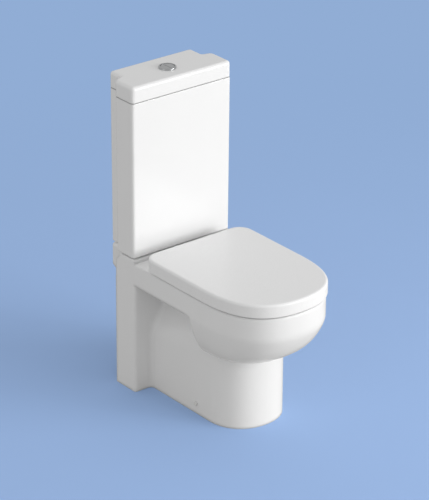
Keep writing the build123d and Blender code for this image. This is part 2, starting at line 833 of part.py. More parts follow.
def make_seat_ring():
    """Seat ring with a sloping inner edge, notched at the back for the hinge posts."""
    ring = extrude(Pos(0, 0, ring_base) * seat_plan(ring_inset), ring_thickness)
    ring = fillet(ring.edges().group_by(Axis.Z)[-1], ring_edge_round)
    front = seat_front_y + ring_front_width
    back = front + ring_opening_length
    half = ring_opening_width / 2
    sections = []
    for height, spread in ((ring_base - overrun, 0), (ring_top + overrun, ring_opening_slope)):
        wide = half + spread
        nose_end = front + (back - front) * ring_opening_nose_share
        plan = nosed_plan(wide, nose_end, front - spread, back + spread, wide * basin_corner_share,
                          ring_opening_fullness_share)
        sections.append(Pos(0, 0, height) * plan)
    ring -= loft(sections, ruled=True)
    ring += both_sides(hinge_eye(ring_lug_start, ring_lug_end, ring_top - ring_edge_round))
    notch_back = hinge_y + hinge_eye_radius + overrun
    notch = slab(lid_lug_start - hinge_side_gap, ring_lug_start, hinge_y - notch_depth, notch_back,
                 ring_base - overrun, ring_top + overrun)
    ring -= both_sides(notch)
    return ring - both_sides(pin_hole(ring_lug_start, ring_lug_end))


def make_seat_lid():
    """Thin-walled lid that wraps over the ring, open at the back between its corners."""
    lid = extrude(Pos(0, 0, lid_base_z) * seat_plan(0), seat_top - lid_base_z)
    lid = fillet(lid.edges().group_by(Axis.Z)[-1], seat_edge_round)
    lid = fillet(lid.edges().group_by(Axis.Z)[0], seat_skirt_foot_round)
    inner_height = seat_underside - lid_base_z
    inside = extrude(Pos(0, 0, lid_base_z) * seat_plan(seat_skin), inner_height)
    inside = fillet(inside.edges().group_by(Axis.Z)[-1], seat_edge_round - seat_skin)
    lid -= inside
    lid -= slab(-rear_open_width / 2, rear_open_width / 2, seat_rear_y - seat_skin - overrun,
                seat_rear_y + overrun, lid_base_z - overrun, seat_underside)
    lid += both_sides(hinge_eye(lid_lug_start, lid_lug_end, seat_underside + seat_top_skin / 2))
    return lid - both_sides(pin_hole(lid_lug_start, lid_lug_end))


def buffer_at(x, y, low, high):
    """Long soft pad with round ends."""
    plan = Pos(x, y, low) * SlotOverall(buffer_length, buffer_width, rotation=90)
    return extrude(plan, high - low)


def buffer_set(low, high):
    """Four pads, two on each side of the ring."""
    x = seat_width / 2 - buffer_side_inset
    pads = []
    for side in (-1, 1):
        pads.append(buffer_at(side * x, buffer_rear_y, low, high))
        pads.append(buffer_at(side * x * (1 - buffer_front_inset_share), buffer_front_y, low, high))
    return Compound(children=[solid for pad in pads for solid in pad.solids()])


def make_hinge_posts():
    """Posts on the deck with a round top about the hinge line."""
    foot = Pos(hinge_spacing / 2, hinge_y, rim_height) * RectangleRounded(post_width, post_depth, post_corner)
    post = extrude(foot, hinge_height)
    post += Pos(0, hinge_y, hinge_z) * cross_rod(post_depth / 2, post_start, post_end)
    hole = Pos(0, hinge_y, hinge_z) * cross_rod(hinge_pin_radius, post_start - overrun, post_end + overrun)
    bolt_hole = rod(hinge_bolt_radius + thread_clearance, rim_height - overrun, rim_height + hinge_bolt_grip)
    return both_sides(post - hole - Pos(hinge_spacing / 2, hinge_y, 0) * bolt_hole)


def make_hinge_pins():
    """Pins along the hinge line, one through each post."""
    return both_sides(Pos(0, hinge_y, hinge_z) * cross_rod(hinge_pin_radius, lid_lug_start, ring_lug_end))


def at_hinges(shape):
    """The same upright piece under both hinge posts."""
    return both_sides(Pos(hinge_spacing / 2, hinge_y, 0) * shape)


def hexagon(radius, low, high):
    """Upright hexagonal prism."""
    return extrude(Pos(0, 0, low) * RegularPolygon(radius, 6), high - low)


def make_hinge_hardware():
    """Bolts, washers and nuts that hold the hinge posts on the deck."""
    end = band_low - hinge_bolt_tail
    bolts = at_hinges(rod(hinge_bolt_radius, end, rim_height + hinge_bolt_grip))
    washer_low = band_low - hinge_washer_height
    bore = hinge_bolt_radius + thread_clearance
    washers = at_hinges(pipe(hinge_washer_radius, bore, washer_low, band_low))
    nut_low = washer_low - hinge_nut_height
    nut = hexagon(hinge_nut_radius, nut_low, washer_low) - rod(bore, nut_low - overrun, washer_low + overrun)
    return bolts, washers, at_hinges(nut)


def at_tank_bolts(shape):
    """The same upright piece at both bolts between cistern and pan."""
    return both_sides(Pos(tank_bolt_spacing / 2, flush_y, 0) * shape)


def make_tank_hardware():
    """Bolts, seals, spacers, washers and wing nuts that hold the cistern on the pan."""
    seal_top = cistern_floor_top + tank_washer_height
    disc_top = seal_top + tank_disc_height
    slab_low = platform_height - platform_thickness
    bolt = rod(tank_bolt_radius, slab_low - tank_bolt_tail, disc_top)
    bolt += hexagon(tank_bolt_head_radius, disc_top, disc_top + tank_bolt_head_height)
    bore = tank_bolt_radius + thread_clearance
    seals = pipe(tank_washer_radius, bore, cistern_floor_top, seal_top)
    discs = pipe(tank_disc_radius, bore, seal_top, disc_top)
    spacers = pipe(tank_washer_radius, bore, platform_height, cistern_base)
    low_disc = pipe(tank_disc_radius, bore, slab_low - tank_disc_height, slab_low)
    nut_top = slab_low - tank_disc_height
    nut_low = nut_top - wing_nut_height
    blades = slab(-wing_nut_span / 2, wing_nut_span / 2, -wing_nut_blade / 2, wing_nut_blade / 2,
                  nut_low - wing_nut_height, nut_low + wing_nut_blade_height - wing_nut_height)
    blades = fillet(blades.edges().filter_by(Axis.Y), wing_nut_blade)
    nut = rod(wing_nut_radius, nut_low, nut_top) + blades
    nut -= rod(bore, nut_low - wing_nut_height * 2, nut_top + overrun)
    return (at_tank_bolts(bolt), at_tank_bolts(seals), at_tank_bolts(discs), at_tank_bolts(spacers),
            at_tank_bolts(low_disc), at_tank_bolts(nut))


def make_button_bezel():
    """Chromed ring with a barrel through the lid."""
    top = lid_top + bezel_height
    ring = rod(bezel_radius, lid_top, top)
    ring = fillet(ring.edges().group_by(Axis.Z)[-1], bezel_edge_round)
    ring += rod(bezel_barrel_radius, lid_top - bezel_barrel_length, lid_top)
    ring -= rod(bezel_inner_radius, lid_top - bezel_barrel_length - overrun, top + overrun)
    return Pos(0, button_y, 0) * ring


def make_bezel_nut():
    """Ring nut under the lid."""
    bore = bezel_barrel_radius + thread_clearance
    return Pos(0, button_y, 0) * pipe(bezel_nut_radius, bore, lid_underside - bezel_nut_height, lid_underside)


def make_button(side):
    """Half-round button cap, hollow below."""
    top = lid_top + bezel_height - button_sink
    low = top - button_height
    radius = bezel_inner_radius - button_clearance
    cap = rod(radius, low, top)
    near = button_split / 2
    cap &= slab(near, radius + overrun, -radius - overrun, radius + overrun, low - overrun, top + overrun)
    cap = fillet(cap.edges().group_by(Axis.Z)[-1], button_edge_round)
    pocket_top = low + button_pocket_depth
    inner = rod(radius - button_pocket_wall, low - overrun, pocket_top)
    inner &= slab(near + button_pocket_wall, radius, -radius, radius, low - overrun, pocket_top)
    cap -= inner
    cap = Pos(0, button_y, 0) * cap
    return cap if side > 0 else mirror(cap, about=Plane.YZ)


def make_push_rod(x, low):
    """Rod from a button cap down to the flush valve's head."""
    top = lid_top + bezel_height - button_sink - button_height + button_pocket_depth
    return Pos(x, button_y, 0) * rod(push_rod_radius, low, top)


def make_flush_valve_seat():
    """Flange on the tank floor with a threaded tail through it."""
    low = cistern_floor_top + seal_washer_height
    top = low + seat_flange_height
    tail_low = cistern_base - seat_tail_length
    seat = rod(seat_flange_radius, low, top) + rod(seat_tail_radius, tail_low, low)
    seat -= rod(seat_tail_bore, tail_low - overrun, top + overrun)
    return Pos(0, flush_y, 0) * seat


def make_tail_rings():
    """Seal inside the tank, backnut below it and soft coupling in the pan's recess."""
    bore = seat_tail_radius + thread_clearance
    seal = pipe(seat_flange_radius, bore, cistern_floor_top, cistern_floor_top + seal_washer_height)
    nut_low = cistern_base - flush_nut_height
    nut = hexagon(flush_nut_radius, nut_low, cistern_base)
    nut -= rod(bore, nut_low - overrun, cistern_base + overrun)
    coupling_low = platform_height - inlet_recess_depth + coupling_foot_gap
    coupling = pipe(coupling_radius, bore, coupling_low, nut_low)
    return [Pos(0, flush_y, 0) * piece for piece in (seal, nut, coupling)]


def make_valve_tower():
    """Cage over the valve seat, two columns and a head that carries the lift lever."""
    cage_top = valve_base + cage_height
    inner = tower_radius - tower_wall
    cage = pipe(tower_radius, inner, valve_base, cage_top)
    sill = valve_base + cage_window_sill
    window_half = cage_window_width / 2
    reach = tower_radius + overrun
    window = slab(-window_half, window_half, -reach, reach, sill, sill + cage_window_height)
    for turn in (45, 135):
        cage -= Rot(0, 0, turn) * window
    guide_low = cage_top - guide_plate_height
    cage += pipe(inner + tower_wall / 2, tube_radius + tube_clearance, guide_low, cage_top)
    tower = cage
    head_low = head_plate_height
    head_top = head_plate_height + head_plate_thickness
    for side in (-1, 1):
        y_low = side * column_offset - column_thickness / 2
        tower += slab(-column_width / 2, column_width / 2, y_low, y_low + column_thickness,
                      cage_top - guide_plate_height, head_low)
    tower += rod(head_plate_radius, head_low, head_top)
    cap_top = head_cap_height + head_plate_thickness
    cheek_half = cheek_length / 2
    for side in (-1, 1):
        y_low = side * cheek_offset - cheek_thickness / 2
        tower += slab(-cheek_half, cheek_half, y_low, y_low + cheek_thickness, head_top, head_cap_height)
    cap_half = cheek_offset + cheek_thickness / 2
    tower += slab(-cheek_half, cheek_half, -cap_half, cap_half, head_cap_height, cap_top)
    slot_end = -head_plate_radius + hook_slot_length
    tower -= slab(-head_plate_radius - overrun, slot_end, -hook_slot_width / 2, hook_slot_width / 2,
                  head_low - overrun, head_top + overrun)
    pin_hole_bar = back_rod(lever_pin_radius, -cap_half - overrun, cap_half + overrun)
    tower -= Pos(lever_pivot_x, 0, lever_height) * pin_hole_bar
    for side in (-1, 1):
        guide = rod(push_rod_radius + rod_guide_clearance, head_cap_height - overrun, cap_top + overrun)
        tower -= Pos(side * push_rod_offset, 0, 0) * guide
    return Pos(0, flush_y, 0) * tower


def make_overflow_bell():
    """Overflow tube with a bell at its foot and a hook at its top for the lift lever."""
    base = valve_base + bell_seal_gap + bell_seal_height
    bell = rod(bell_radius, base, base + bell_height) + rod(tube_radius, base, overflow_height)
    collar_low = overflow_height - collar_height * 2
    bell += rod(collar_radius, collar_low, collar_low + collar_height)
    tip = radians(lever_tilt)
    end_x = lever_pivot_x - lever_lift_arm - lever_thickness / 2
    hook_low = lever_height - sin(tip) * lever_lift_arm + lever_thickness / 2 + hook_play
    bar_x = end_x - lever_thickness / 2 - hook_bar_thickness
    bar_far = bar_x + hook_bar_thickness
    half = hook_bar_width / 2
    bell += slab(bar_x, -tube_bore, -half, half, collar_low, collar_low + collar_height)
    bell += slab(bar_x, bar_far, -half, half, collar_low, hook_low + hook_tip_height)
    bell += slab(bar_x, bar_far + hook_tip_length, -half, half, hook_low, hook_low + hook_tip_height)
    bell -= rod(tube_bore, base - overrun, overflow_height + overrun)
    return Pos(0, flush_y, 0) * bell


def make_bell_seal():
    """Rubber ring under the bell."""
    low = valve_base + bell_seal_gap
    return Pos(0, flush_y, 0) * pipe(bell_seal_radius, tube_bore, low, low + bell_seal_height)


def make_lift_lever():
    """Rocking lever: the push rod presses its pad, and its other end lifts the hook."""
    arm = slab(-lever_lift_arm, lever_pad_arm, -lever_width / 2, lever_width / 2,
               -lever_thickness / 2, lever_thickness / 2)
    for x in (-lever_lift_arm, lever_pad_arm):
        tip = back_rod(lever_thickness / 2, -lever_width / 2, lever_width / 2)
        arm += Pos(x, 0, 0) * tip
    arm += back_rod(lever_eye_radius, -lever_width / 2, lever_width / 2)
    arm -= back_rod(lever_pin_radius + hinge_clearance, -lever_width, lever_width)
    return Pos(lever_pivot_x, flush_y, lever_height) * (Rot(0, -lever_tilt, 0) * arm)


def make_lever_pin():
    """Pin of the lift lever, through both cheeks of the head."""
    half = cheek_offset + cheek_thickness / 2
    return Pos(lever_pivot_x, flush_y, lever_height) * back_rod(lever_pin_radius, -half, half)


def make_fill_valve():
    """Valve block on a shank through the neck's side, with a guide tube for the float."""
    flange_end = inlet_wall_x - inlet_washer_thickness
    flange_start = flange_end - shank_flange_thickness
    shank = cross_rod(shank_radius, fill_x, neck_width / 2 + shank_reach)
    shank += cross_rod(shank_flange_radius, flange_start, flange_end)
    relief_start = neck_width / 2 + inlet_nut_height
    relief_end = relief_start + shank_relief_length
    relief_core = cross_rod(shank_radius - shank_relief_depth, relief_start - overrun, relief_end + overrun)
    shank -= cross_rod(shank_radius + overrun, relief_start, relief_end) - relief_core
    valve = Pos(0, inlet_y, inlet_height) * shank
    half_width = fill_block_width / 2
    half_depth = fill_block_depth / 2
    middle_y = guide_y + guide_y_shift / 2
    block = slab(fill_x - half_width, fill_x + half_width, middle_y - half_depth, middle_y + half_depth,
                 fill_block_low, fill_block_high)
    valve += fillet(block.edges().filter_by(Axis.Z), shank_flange_thickness)
    guide_low = fill_block_low - guide_length
    valve += Pos(fill_x, guide_y, 0) * rod(guide_radius, guide_low, fill_block_low)
    for side in (-1, 1):
        near = float_lever_width / 2 + float_ear_gap
        y_low, y_high = sorted((side * near, side * (near + float_ear_thickness)))
        ear = slab(float_pivot_x - float_lever_eye_radius, float_lever_x, y_low, y_high,
                   fill_block_high - overrun, float_pivot_z)
        ear += Pos(float_pivot_x, 0, float_pivot_z) * back_rod(float_lever_eye_radius, y_low, y_high)
        valve += Pos(0, guide_y, 0) * ear
    pin = back_rod(float_pin_radius, -half_depth, half_depth)
    valve -= Pos(float_pivot_x, guide_y, float_pivot_z) * pin
    valve -= Pos(fill_x, guide_y, 0) * rod(guide_bore, guide_low - overrun, fill_block_low)
    inlet = cross_rod(shank_bore, fill_x, neck_width / 2 + shank_reach + overrun)
    return valve - Pos(0, inlet_y, inlet_height) * inlet


def make_inlet_rings():
    """Rubber washer inside the tank wall and nut outside it."""
    bore = shank_radius + thread_clearance
    washer = cross_rod(shank_flange_radius, inlet_wall_x - inlet_washer_thickness, inlet_wall_x)
    washer -= cross_rod(bore, inlet_wall_x - inlet_washer_thickness - overrun, inlet_wall_x + overrun)
    outer = neck_width / 2
    nut = Rot(0, 90, 0) * extrude(RegularPolygon(inlet_nut_radius, 6), inlet_nut_height)
    nut = Pos(outer, 0, 0) * nut
    nut -= cross_rod(bore, outer - overrun, outer + inlet_nut_height + overrun)
    return [Pos(0, inlet_y, inlet_height) * piece for piece in (washer, nut)]


def make_drop_tube():
    """Quiet tube that leads the water down to the tank floor."""
    top = fill_block_low - guide_length + drop_tube_overlap
    return Pos(fill_x, guide_y, 0) * pipe(drop_tube_radius, drop_tube_bore, drop_tube_end, top)


def make_float_lever():
    """Lever that closes the fill valve as the float rises."""
    half = float_lever_width / 2
    thick = float_lever_thickness / 2
    arm = slab(-float_lever_arm, 0, -half, half, -thick, thick)
    arm += Pos(-float_lever_arm, 0, 0) * rod(half + thick, -thick, thick)
    arm += back_rod(float_lever_eye_radius, -half, half)
    arm -= back_rod(float_pin_radius + hinge_clearance, -half - overrun, half + overrun)
    arm -= Pos(-float_lever_arm, 0, 0) * rod(link_hole_radius, -thick - overrun, thick + overrun)
    return Pos(float_pivot_x, guide_y, float_pivot_z) * (Rot(0, -float_tilt, 0) * arm)


def make_float_lever_pin():
    """Pin of the float lever, between the ears on the valve block."""
    half = float_lever_width / 2 + float_ear_gap + float_ear_thickness
    return Pos(float_pivot_x, guide_y, float_pivot_z) * back_rod(float_pin_radius, -half, half)


def make_float_cup():
    """Float that slides on the guide tube, open below."""
    top = float_low + float_height
    cup = pipe(float_radius, float_bore, float_low, top)
    cavity_top = top - float_wall * 2
    cavity = pipe(float_radius - float_wall, float_bore + float_wall, float_low - overrun, cavity_top)
    return Pos(fill_x, guide_y, 0) * (cup - cavity)


def make_float_link():
    """Thin rod from the float to its lever, with a collar above and below the lever."""
    tilt = radians(float_tilt)
    reach = float_lever_arm * (1 + cos(tilt)) / 2
    middle = float_pivot_z - float_lever_arm * sin(tilt)
    play = float_lever_thickness / 2 + link_collar_play + link_collar_radius * sin(tilt)
    top = middle + play + link_collar_height
    link = rod(link_radius, float_low + float_height, top)
    link += rod(link_collar_radius, middle + play, top)
    link += rod(link_collar_radius, middle - play - link_collar_height, middle - play)
    return Pos(float_pivot_x - reach, guide_y, 0) * link


def make_foot_fixings():
    """Angle brackets inside the foot, side screws through the china and the caps over their heads."""
    face = pedestal_width / 2
    inner = face - pan_wall - bracket_gap
    half = bracket_length / 2
    upright = slab(inner - bracket_thickness, inner, -half, half, 0, bracket_height)
    foot = slab(inner - bracket_foot, inner, -half, half, 0, bracket_thickness)
    floor_hole = rod(bracket_hole_radius, -overrun, bracket_thickness + overrun)
    bracket = upright + foot - Pos(inner - bracket_foot / 2, 0, 0) * floor_hole
    screw_hole = cross_rod(fixing_screw_radius + thread_clearance, inner - bracket_foot, face)
    bracket -= Pos(0, 0, fixing_height) * screw_hole
    head_end = face + fixing_head_height
    screw = cross_rod(fixing_screw_radius, face - fixing_screw_length, face)
    screw += cross_rod(fixing_head_radius, face, head_end)
    cap = cross_rod(cap_radius, face, face + cap_height)
    cap = fillet(cap.edges().group_by(Axis.X)[-1], cap_skin)
    cap -= cross_rod(fixing_head_radius + thread_clearance, face - overrun, head_end)
    pieces = []
    for piece, height in ((bracket, 0), (screw, fixing_height), (cap, fixing_height)):
        pieces.append(both_sides(Pos(0, fixing_y, height) * piece))
    return pieces


lift_tip = lever_height + sin(radians(lever_tilt)) * lever_pad_arm + lever_thickness / 2
full_rod_low = lift_tip + rod_play
half_rod_low = head_cap_height - button_travel / 2
hinge_bolts, hinge_washers, hinge_nuts = make_hinge_hardware()
tank_bolts, tank_seals, tank_discs, tank_spacers, tank_low_discs, wing_nuts = make_tank_hardware()
valve_washer, valve_nut, coupling_gasket = make_tail_rings()
inlet_washer, inlet_nut = make_inlet_rings()
floor_brackets, fixing_screws, fixing_caps = make_foot_fixings()

nodes = {
    "pan": make_pan(),
    "cistern_body": make_cistern_body(),
    "cistern_lid": make_cistern_lid(),
    "seat_ring": make_seat_ring(),
    "seat_lid": make_seat_lid(),
    "ring_buffers": buffer_set(rim_height + buffer_gap, ring_base),
    "lid_buffers": buffer_set(ring_top + lid_buffer_height_gap, seat_underside),
    "hinge_posts": make_hinge_posts(),
    "hinge_pins": make_hinge_pins(),
    "hinge_bolts": hinge_bolts,
    "hinge_washers": hinge_washers,
    "hinge_nuts": hinge_nuts,
    "tank_bolts": tank_bolts,
    "tank_bolt_seals": tank_seals,
    "tank_bolt_discs": tank_discs,
    "tank_spacers": tank_spacers,
    "wing_nut_washers": tank_low_discs,
    "wing_nuts": wing_nuts,
    "button_bezel": make_button_bezel(),
    "bezel_nut": make_bezel_nut(),
    "full_flush_button": make_button(1),
    "half_flush_button": make_button(-1),
    "full_flush_rod": make_push_rod(push_rod_offset, full_rod_low),
    "half_flush_rod": make_push_rod(-push_rod_offset, half_rod_low),
    "valve_seat": make_flush_valve_seat(),
    "valve_seat_washer": valve_washer,
    "valve_nut": valve_nut,
    "coupling_gasket": coupling_gasket,
    "valve_tower": make_valve_tower(),
    "overflow_bell": make_overflow_bell(),
    "bell_seal": make_bell_seal(),
    "lift_lever": make_lift_lever(),
    "lift_lever_pin": make_lever_pin(),
    "fill_valve": make_fill_valve(),
    "inlet_washer": inlet_washer,
    "inlet_nut": inlet_nut,
    "drop_tube": make_drop_tube(),
    "float_cup": make_float_cup(),
    "float_link": make_float_link(),
    "float_lever": make_float_lever(),
    "float_lever_pin": make_float_lever_pin(),
    "floor_brackets": floor_brackets,
    "fixing_screws": fixing_screws,
    "fixing_caps": fixing_caps,
}

for name, shape in nodes.items():
    export_step(shape, f"parts/{name}.step")
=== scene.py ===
"""Dresses the floor-standing toilet in its finishes and sets it in a soft studio with its camera."""
import math

import bpy
from bpy.props import FloatProperty, FloatVectorProperty, PointerProperty
from mathutils import Euler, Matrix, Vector


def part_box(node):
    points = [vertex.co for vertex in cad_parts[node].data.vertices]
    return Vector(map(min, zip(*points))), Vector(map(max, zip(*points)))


bl_info = {
    "name": "Floor-standing toilet",
    "version": (1, 0, 0),
    "blender": (4, 5, 0),
    "location": "View3D > Sidebar > Toilet",
    "description": "Dresses a close-coupled toilet and sets it in a soft studio",
    "category": "Object",
}

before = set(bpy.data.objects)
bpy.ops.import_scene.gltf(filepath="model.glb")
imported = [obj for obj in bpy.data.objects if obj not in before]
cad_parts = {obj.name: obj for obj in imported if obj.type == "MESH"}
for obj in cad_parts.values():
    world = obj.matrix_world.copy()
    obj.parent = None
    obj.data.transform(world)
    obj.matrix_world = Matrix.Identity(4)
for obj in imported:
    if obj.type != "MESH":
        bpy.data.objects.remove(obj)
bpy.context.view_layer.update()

MM = 0.001
LIGHT_AIM = Vector((0.0, 0.0, 0.45))
CAMERA_REACH = 60.0
PAN_NODES = ("pan",)
CISTERN_NODES = ("cistern_body", "cistern_lid")
SEAT_NODES = ("seat_lid", "seat_ring")
CHROME_NODES = ("button_bezel", "full_flush_button", "half_flush_button", "hinge_posts")
STEEL_NODES = ("hinge_pins", "hinge_bolts", "tank_bolts", "tank_bolt_discs", "wing_nut_washers",
               "lift_lever_pin", "float_link", "float_lever_pin", "floor_brackets", "fixing_screws")
RUBBER_NODES = ("ring_buffers", "lid_buffers", "hinge_washers", "tank_bolt_seals", "tank_spacers",
                "valve_seat_washer", "coupling_gasket", "bell_seal", "inlet_washer")
WHITE_PLASTIC_NODES = ("hinge_nuts", "wing_nuts", "bezel_nut", "full_flush_rod", "half_flush_rod",
                       "valve_seat", "valve_nut", "valve_tower", "fill_valve", "inlet_nut", "fixing_caps")
GREY_PLASTIC_NODES = ("overflow_bell", "lift_lever", "drop_tube", "float_cup", "float_lever")


class Term:
    """A node socket that takes part in arithmetic: each operator adds one Math node."""

    def __init__(self, shader, socket):
        self.shader = shader
        self.socket = socket

    def _math(self, operation, first, second):
        return self.shader.add("ShaderNodeMath", {"operation": operation}, {0: first, 1: second})

    def __add__(self, other):
        return self._math("ADD", self, other)

    def __radd__(self, other):
        return self._math("ADD", other, self)

    def __sub__(self, other):
        return self._math("SUBTRACT", self, other)

    def __rsub__(self, other):
        return self._math("SUBTRACT", other, self)

    def __mul__(self, other):
        return self._math("MULTIPLY", self, other)

    def __rmul__(self, other):
        return self._math("MULTIPLY", other, self)

    def __abs__(self):
        return self.shader.add("ShaderNodeMath", {"operation": "ABSOLUTE"}, {0: self})


class Finish:
    """A material or world in the making, with one method that adds any node."""

    def __init__(self, name, kind="materials", output="ShaderNodeOutputMaterial"):
        self.block = getattr(bpy.data, kind).new(name)
        self.block.use_nodes = True
        self.tree = self.block.node_tree
        self.tree.nodes.clear()
        self.output = self.tree.nodes.new(output)

    def add(self, kind, settings=None, inputs=None, out=0):
        """Adds a node, sets its settings, then sets or links its inputs, and gives one of its outputs."""
        node = self.tree.nodes.new(kind)
        for name, value in (settings or {}).items():
            if name == "stops":
                self._fill_ramp(node.color_ramp, value)
            else:
                setattr(node, name, value)
        for name, value in (inputs or {}).items():
            if isinstance(value, Term):
                self.tree.links.new(value.socket, node.inputs[name])
            else:
                node.inputs[name].default_value = value
        return Term(self, node.outputs[out])

    @staticmethod
    def _fill_ramp(ramp, stops):
        while len(ramp.elements) < len(stops):
            ramp.elements.new(1.0)
        for element, (place, level) in zip(ramp.elements, stops):
            element.position = place
            element.color = (level, level, level, 1.0)

    def place(self):
        """Position on the piece, in metres."""
        return self.add("ShaderNodeTexCoord", out="Object")

    def noise(self, scale, detail=2.0, where=None):
        """Soft random field about one half."""
        inputs = {"Vector": where or self.place(), "Scale": scale, "Detail": detail}
        return self.add("ShaderNodeTexNoise", {"noise_dimensions": "3D"}, inputs, out="Fac")

    def stretched(self, stretch):
        """Position pulled out along an axis, for a drawn or turned grain."""
        return self.add("ShaderNodeMapping", {}, {"Vector": self.place(), "Scale": stretch})

    def clamp(self, value, low, high):
        """Maps a value between two limits to 0 and 1."""
        inputs = {"Value": value, "From Min": low, "From Max": high}
        return self.add("ShaderNodeMapRange", {"clamp": True}, inputs)

    def blend(self, factor, first, second):
        """Mixes two colours."""
        settings = {"data_type": "RGBA"}
        return self.add("ShaderNodeMix", settings, {0: factor, 6: first, 7: second}, out=2)

    def rounded(self, radius):
        """Normal that rounds sharp edges."""
        return self.add("ShaderNodeBevel", {"samples": 6}, {"Radius": radius})

    def bump(self, height, distance, normal):
        """Normal raised by a height field, in metres."""
        inputs = {"Height": height, "Distance": distance, "Strength": 1.0, "Normal": normal}
        return self.add("ShaderNodeBump", {}, inputs)

    def mixed(self, factor, first, second):
        """Ends in a mix of two shaders."""
        return self.ended(self.add("ShaderNodeMixShader", {}, {0: factor, 1: first, 2: second}))

    def surface(self, inputs):
        """Ends in a Principled surface."""
        return self.ended(self.add("ShaderNodeBsdfPrincipled", {}, inputs))

    def ended(self, shader):
        """Links the last shader to the output and gives what it belongs to."""
        self.tree.links.new(shader.socket, self.output.inputs["Surface"])
        return self.block


def rgba(colour, share=1.0):
    """Colour with alpha, darkened by a share."""
    return (colour[0] * share, colour[1] * share, colour[2] * share, 1.0)


def glazed_china(name, look, edge_round, joint=None):
    """White glaze over fired clay, bare in a thin line at the floor, with painted shade darkening the joint
    under the lid.
    """
    finish = Finish(name)
    height = finish.add("ShaderNodeSeparateXYZ", {}, {"Vector": finish.place()}, out="Z")
    ragged = finish.noise(60.0) * MM
    glaze = finish.clamp(height + ragged, MM, 2.0 * MM)
    tone = finish.clamp(finish.noise(3.5, 3.0), 0.3, 0.7)
    white = finish.blend(tone, rgba(look.china, 0.985), rgba(look.china))
    # Painted shade: a band of china at 0.55 of its colour, at the height of the lid joint, stands in for the
    # shadow in the gap between the cistern and its lid.
    if joint:
        outside_joint_shade = finish.clamp(abs(height - joint), look.joint_width * MM * 0.25, look.joint_width * MM)
        white = finish.blend(outside_joint_shade, rgba(look.china, 0.55), white)
    colour = finish.blend(glaze, rgba(look.clay), white)
    waves = finish.noise(9.0, 1.0) * 0.9 + finish.noise(55.0, 2.0) * 0.04
    normal = finish.bump(waves, look.glaze_wave * MM, finish.rounded(edge_round * MM))
    rough = 0.62 - glaze * (0.62 - look.china_roughness) + (finish.noise(14.0) - 0.5) * 0.03
    return finish.surface({"Base Color": colour, "Roughness": rough, "Normal": normal, "IOR": 1.52})


def seat_plastic(look):
    """Hard white moulded plastic, very slightly uneven."""
    finish = Finish("seat_plastic")
    grain = finish.noise(450.0, 1.0)
    colour = finish.blend(grain, rgba(look.seat, 0.98), rgba(look.seat))
    normal = finish.rounded(1.5 * MM)
    rough = look.seat_roughness + (grain - 0.5) * 0.06
    return finish.surface({"Base Color": colour, "Roughness": rough, "Normal": normal, "IOR": 1.5})


def polished_chrome(look):
    """Bright plate with soft smears of polish."""
    finish = Finish("polished_chrome")
    smear = finish.clamp(finish.noise(90.0, 3.0), 0.35, 0.75)
    colour = finish.blend(smear, rgba(look.chrome), rgba(look.chrome, 0.94))
    normal = finish.bump(finish.noise(160.0, 2.0), 0.04 * MM, finish.rounded(0.6 * MM))
    rough = 0.07 + smear * 0.09
    return finish.surface({"Base Color": colour, "Metallic": 1.0, "Roughness": rough, "Normal": normal})


def turned_steel(look):
    """Plain steel with fine turning marks."""
    finish = Finish("turned_steel")
    marks = finish.noise(40.0, 4.0, finish.stretched((1.0, 1.0, 30.0)))
    colour = finish.blend(finish.clamp(marks, 0.3, 0.7), rgba(look.steel, 0.85), rgba(look.steel))
    normal = finish.bump(marks, 0.08 * MM, finish.rounded(0.4 * MM))
    rough = 0.28 + marks * 0.16
    return finish.surface({"Base Color": colour, "Metallic": 1.0, "Roughness": rough, "Normal": normal})


def soft_rubber(look):
    """Matt black rubber with a dusty bloom."""
    finish = Finish("soft_rubber")
    bloom = finish.clamp(finish.noise(120.0, 4.0), 0.4, 0.8)
    colour = finish.blend(bloom, rgba(look.rubber), rgba(look.rubber, 1.6))
    normal = finish.bump(finish.noise(600.0, 2.0), 0.1 * MM, finish.rounded(0.6 * MM))
    rough = 0.66 + bloom * 0.16
    return finish.surface({"Base Color": colour, "Roughness": rough, "Normal": normal})


def moulded_plastic(name, colour, roughness):
    """Moulded fittings plastic with a fine spark-eroded grain."""
    finish = Finish(name)
    cloud = finish.clamp(finish.noise(25.0, 3.0), 0.3, 0.7)
    tone = finish.blend(cloud, rgba(colour, 0.95), rgba(colour))
    normal = finish.bump(finish.noise(900.0, 2.0), 0.06 * MM, finish.rounded(0.6 * MM))
    rough = roughness + (finish.noise(70.0) - 0.5) * 0.08
    return finish.surface({"Base Color": tone, "Roughness": rough, "Normal": normal})


def dress(names, material):
    """Gives CAD nodes their finish through their object's material slots."""
    for name in names:
        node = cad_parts[name]
        if not node.material_slots:
            node.data.materials.append(material)
        for slot in node.material_slots:
            slot.link = "OBJECT"
            slot.material = material


